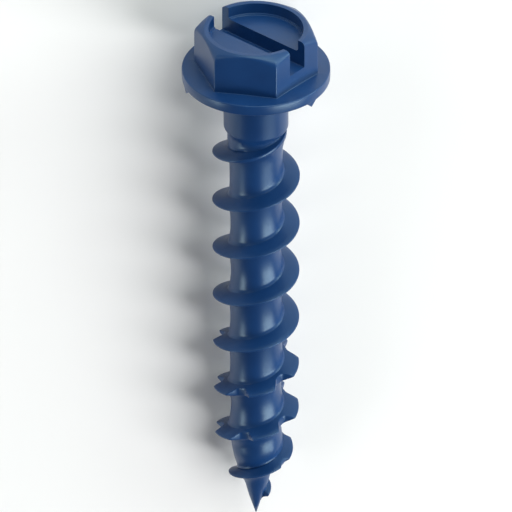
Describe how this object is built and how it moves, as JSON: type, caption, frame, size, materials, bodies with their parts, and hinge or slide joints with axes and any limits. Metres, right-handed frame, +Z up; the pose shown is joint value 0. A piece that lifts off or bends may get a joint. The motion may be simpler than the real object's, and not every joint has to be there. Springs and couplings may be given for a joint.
{
  "type": "concrete screw",
  "caption": "Blue coated steel screw for concrete with a slotted hex washer head, a plain neck, a coarse right-hand thread with notched lead turns and a sharp point.",
  "frame": {"origin": "centre of the bounding box on the floor that the screw lies on", "axes": "+X along the screw towards its head, level with the floor; +Z up; the screw's own axis rises about 4.5 degrees towards the head"},
  "size_m": [0.0424, 0.0108, 0.0108],
  "materials": {
    "blue_coating": "smooth baked coating, half gloss"
  },
  "bodies": {
    "root": {"concrete_screw": "blue_coating"}
  },
  "joints": []
}
